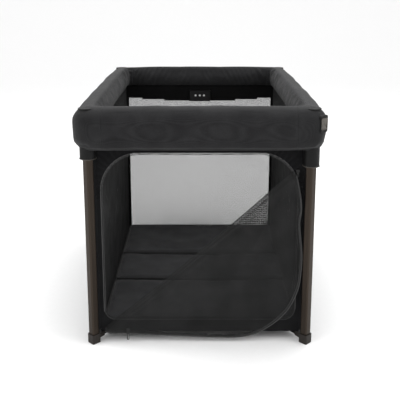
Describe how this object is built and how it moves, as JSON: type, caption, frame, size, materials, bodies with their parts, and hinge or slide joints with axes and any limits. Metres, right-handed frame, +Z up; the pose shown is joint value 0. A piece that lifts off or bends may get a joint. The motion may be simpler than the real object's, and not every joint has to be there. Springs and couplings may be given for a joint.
{
  "type": "playpen",
  "caption": "Folding fabric playpen with mesh walls, padded top rails, a zipped end door folded part open and a folding mattress.",
  "frame": {"origin": "middle of the footprint, on the floor", "axes": "+X to the right of a person facing the door end from outside, +Y from the door end to the back, +Z up"},
  "size_m": [0.75, 1.058, 0.765],
  "materials": {
    "bronze_anodised": "satin bronze anodising",
    "foot_moulding": "satin bronze-grey moulding",
    "black_moulding": "fine spark texture",
    "frame_tube": "black powder coat",
    "padded_cover": "matte woven polyester over foam",
    "mesh_cloth": "black knitted mesh",
    "wall_cloth": "matte woven polyester",
    "mattress_cloth": "matte woven polyester",
    "webbing": "ribbed webbing",
    "patch": "smooth coated cloth",
    "button_finish": "silver rim, bronze centre",
    "bright_steel": "zinc plated",
    "zip_metal": "black lacquer"
  },
  "bodies": {
    "post_front_left": {"leg_tube_front_left": "bronze_anodised", "foot_front_left": "foot_moulding", "corner_bracket_front_left": "black_moulding", "corner_cover_front_left": "padded_cover", "front_wall": "wall_cloth", "left_wall": "mesh_cloth", "door_panel": "mesh_cloth"},
    "base_leg_front_left": {"base_leg_front_left": "frame_tube"},
    "post_front_right": {"leg_tube_front_right": "bronze_anodised", "foot_front_right": "foot_moulding", "corner_bracket_front_right": "black_moulding", "corner_cover_front_right": "padded_cover", "right_wall": "mesh_cloth", "button_housing": "black_moulding", "button_spring": "bright_steel"},
    "base_leg_front_right": {"base_leg_front_right": "frame_tube"},
    "post_back_left": {"leg_tube_back_left": "bronze_anodised", "foot_back_left": "foot_moulding", "corner_bracket_back_left": "black_moulding", "corner_cover_back_left": "padded_cover", "back_wall": "mesh_cloth", "back_patch": "patch"},
    "base_leg_back_left": {"base_leg_back_left": "frame_tube"},
    "post_back_right": {"leg_tube_back_right": "bronze_anodised", "foot_back_right": "foot_moulding", "corner_bracket_back_right": "black_moulding", "corner_cover_back_right": "padded_cover"},
    "base_leg_back_right": {"base_leg_back_right": "frame_tube"},
    "hub": {"hub": "black_moulding", "pull_strap": "webbing", "floor_cloth": "wall_cloth"},
    "front_rail_left": {"front_rail_left": "frame_tube", "front_rail_cover_left": "padded_cover"},
    "front_rail_right": {"front_rail_right": "frame_tube", "front_rail_cover_right": "padded_cover"},
    "back_rail_left": {"back_rail_left": "frame_tube", "back_rail_cover_left": "padded_cover"},
    "back_rail_right": {"back_rail_right": "frame_tube", "back_rail_cover_right": "padded_cover"},
    "left_rail_front": {"left_rail_front": "frame_tube", "left_rail_cover_front": "padded_cover"},
    "left_rail_back": {"left_rail_back": "frame_tube", "left_rail_cover_back": "padded_cover"},
    "right_rail_front": {"right_rail_front": "frame_tube", "right_rail_cover_front": "padded_cover"},
    "right_rail_back": {"right_rail_back": "frame_tube", "right_rail_cover_back": "padded_cover"},
    "mattress_front": {"mattress_front": "mattress_cloth"},
    "mattress_middle": {"mattress_middle": "mattress_cloth"},
    "mattress_back": {"mattress_back": "mattress_cloth"},
    "door_flap": {"door_flap": "mesh_cloth"},
    "release_button": {"release_button": "button_finish"},
    "latch_bolt": {"latch_bolt": "bright_steel"},
    "zip_slider_upper": {"zip_slider_upper": "zip_metal"},
    "zip_slider_lower": {"zip_slider_lower": "zip_metal"}
  },
  "joints": [
    {"name": "frame_fold", "type": "hinge", "parent": "post_front_left", "child": "base_leg_front_left", "pos_m": [-0.31381, -0.45893, 0.017], "axis": [0.8255, -0.5644, 0], "range_deg": [0, 76], "deforming": ["back_patch", "back_rail_cover_left", "back_rail_cover_right", "back_wall", "corner_cover_back_left", "corner_cover_back_right", "corner_cover_front_left", "corner_cover_front_right", "door_flap", "door_panel", "floor_cloth", "front_rail_cover_left", "front_rail_cover_right", "front_wall", "left_rail_cover_back", "left_rail_cover_front", "left_wall", "mattress_back", "mattress_front", "mattress_middle", "pull_strap", "right_rail_cover_back", "right_rail_cover_front", "right_wall"]},
    {"name": "hub_front_left", "type": "hinge", "parent": "base_leg_front_left", "child": "hub", "pos_m": [-0.02881, -0.04213, 0.017], "axis": [-0.8255, 0.5644, 0], "range_deg": [0, 76]},
    {"name": "hub_front_right", "type": "hinge", "parent": "hub", "child": "base_leg_front_right", "pos_m": [0.02881, -0.04213, 0.017], "axis": [0.8255, 0.5644, 0], "range_deg": [0, 76]},
    {"name": "foot_front_right", "type": "hinge", "parent": "base_leg_front_right", "child": "post_front_right", "pos_m": [0.31381, -0.45893, 0.017], "axis": [-0.8255, -0.5644, 0], "range_deg": [0, 76]},
    {"name": "hub_back_left", "type": "hinge", "parent": "hub", "child": "base_leg_back_left", "pos_m": [-0.02881, 0.04213, 0.017], "axis": [-0.8255, -0.5644, 0], "range_deg": [0, 76]},
    {"name": "foot_back_left", "type": "hinge", "parent": "base_leg_back_left", "child": "post_back_left", "pos_m": [-0.31381, 0.45893, 0.017], "axis": [0.8255, 0.5644, 0], "range_deg": [0, 76]},
    {"name": "hub_back_right", "type": "hinge", "parent": "hub", "child": "base_leg_back_right", "pos_m": [0.02881, 0.04213, 0.017], "axis": [-0.8255, 0.5644, 0], "range_deg": [0, 76]},
    {"name": "foot_back_right", "type": "hinge", "parent": "base_leg_back_right", "child": "post_back_right", "pos_m": [0.31381, 0.45893, 0.017], "axis": [0.8255, -0.5644, 0], "range_deg": [0, 76]},
    {"name": "front_rail_end", "type": "hinge", "parent": "post_front_left", "child": "front_rail_left", "pos_m": [-0.285, -0.487, 0.738], "axis": [0, 1, 0], "range_deg": [0, 76]},
    {"name": "front_rail_middle", "type": "hinge", "parent": "front_rail_left", "child": "front_rail_right", "pos_m": [0, -0.487, 0.738], "axis": [0, -1, 0], "range_deg": [0, 152]},
    {"name": "back_rail_end", "type": "hinge", "parent": "post_back_left", "child": "back_rail_left", "pos_m": [-0.285, 0.487, 0.738], "axis": [0, 1, 0], "range_deg": [0, 76]},
    {"name": "back_rail_middle", "type": "hinge", "parent": "back_rail_left", "child": "back_rail_right", "pos_m": [0, 0.487, 0.738], "axis": [0, -1, 0], "range_deg": [0, 152]},
    {"name": "left_rail_end", "type": "hinge", "parent": "post_front_left", "child": "left_rail_front", "pos_m": [-0.333, -0.4168, 0.738], "axis": [-1, 0, 0], "range_deg": [0, 76]},
    {"name": "left_rail_middle", "type": "hinge", "parent": "left_rail_front", "child": "left_rail_back", "pos_m": [-0.333, 0, 0.738], "axis": [1, 0, 0], "range_deg": [0, 152]},
    {"name": "right_rail_end", "type": "hinge", "parent": "post_front_right", "child": "right_rail_front", "pos_m": [0.333, -0.4168, 0.738], "axis": [-1, 0, 0], "range_deg": [0, 76]},
    {"name": "right_rail_middle", "type": "hinge", "parent": "right_rail_front", "child": "right_rail_back", "pos_m": [0.333, 0, 0.738], "axis": [1, 0, 0], "range_deg": [0, 152]},
    {"name": "mattress_lift", "type": "slide", "parent": "hub", "child": "mattress_middle", "axis": [0, 0, 1], "range_m": [0, 0.42]},
    {"name": "mattress_fold", "type": "hinge", "parent": "mattress_middle", "child": "mattress_front", "pos_m": [0, -0.124, 0.056], "axis": [-1, 0, 0], "range_deg": [0, 90]},
    {"name": "mattress_back_fold", "type": "hinge", "parent": "mattress_middle", "child": "mattress_back", "pos_m": [0, 0.124, 0.056], "axis": [1, 0, 0], "range_deg": [0, 90]},
    {"name": "door_open", "type": "hinge", "parent": "post_front_left", "child": "door_flap", "pos_m": [-0.3, -0.47925, 0.042], "axis": [0.7501, 0, 0.6613], "range_deg": [-180, 0]},
    {"name": "button_press", "type": "slide", "parent": "post_front_right", "child": "release_button", "axis": [-0.7071, 0.7071, 0], "range_m": [0, 0.005], "stiffness_N_per_m": 300, "springref_m": -0.003, "deforming": ["button_spring"]},
    {"name": "latch_draw", "type": "slide", "parent": "post_front_right", "child": "latch_bolt", "axis": [1, 0, 0], "range_m": [0, 0.004]},
    {"name": "upper_zip", "type": "slide", "parent": "post_front_right", "child": "zip_slider_upper", "axis": [0, 0, -1], "range_m": [0, 0.36]},
    {"name": "lower_zip", "type": "slide", "parent": "post_front_left", "child": "zip_slider_lower", "axis": [1, 0, 0], "range_m": [0, 0.3]}
  ],
  "couplings": [
    {"joint": "hub_front_left", "follows": "frame_fold", "ratio": 1},
    {"joint": "hub_front_right", "follows": "frame_fold", "ratio": 1},
    {"joint": "foot_front_right", "follows": "frame_fold", "ratio": 1},
    {"joint": "hub_back_left", "follows": "frame_fold", "ratio": 1},
    {"joint": "foot_back_left", "follows": "frame_fold", "ratio": 1},
    {"joint": "hub_back_right", "follows": "frame_fold", "ratio": 1},
    {"joint": "foot_back_right", "follows": "frame_fold", "ratio": 1},
    {"joint": "front_rail_end", "follows": "frame_fold", "ratio": 1},
    {"joint": "front_rail_middle", "follows": "frame_fold", "ratio": 2},
    {"joint": "back_rail_end", "follows": "frame_fold", "ratio": 1},
    {"joint": "back_rail_middle", "follows": "frame_fold", "ratio": 2},
    {"joint": "left_rail_end", "follows": "frame_fold", "ratio": 1},
    {"joint": "left_rail_middle", "follows": "frame_fold", "ratio": 2},
    {"joint": "right_rail_end", "follows": "frame_fold", "ratio": 1},
    {"joint": "right_rail_middle", "follows": "frame_fold", "ratio": 2},
    {"joint": "mattress_lift", "follows": "frame_fold", "m_per_rad": 0.3166},
    {"joint": "mattress_back_fold", "follows": "mattress_fold", "ratio": 1},
    {"joint": "latch_draw", "follows": "button_press", "ratio": 0.8}
  ]
}
